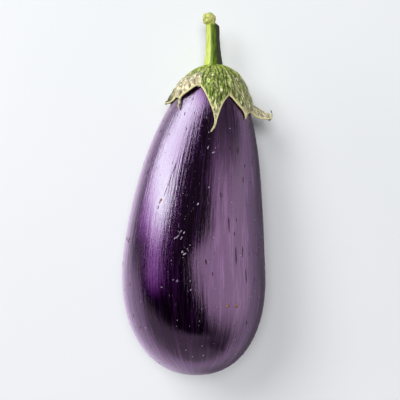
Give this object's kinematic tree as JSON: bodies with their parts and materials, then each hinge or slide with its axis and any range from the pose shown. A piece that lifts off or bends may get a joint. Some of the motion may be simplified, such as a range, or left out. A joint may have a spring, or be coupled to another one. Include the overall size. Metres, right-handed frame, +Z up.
{
  "type": "eggplant",
  "caption": "Long pear-shaped purple eggplant with a pointed green calyx and a cut ridged stem, lying on its side.",
  "frame": {"origin": "centre of the small flat spot that the fruit lies on, on the surface below it", "axes": "+Y along the fruit from its blossom end to its stem, +Z up from the surface, +X sideways towards the sepal that curls away"},
  "size_m": [0.1016, 0.2382, 0.094],
  "materials": {
    "skin": "glossy, waxy dark purple skin with paler streaks and specks",
    "calyx": "matt, ridged green flesh with tan margins",
    "stem": "satin, ridged yellow-green stalk, dry and lighter at the cut"
  },
  "bodies": {
    "root": {"fruit": "skin", "calyx": "calyx", "stem": "stem"}
  },
  "joints": []
}
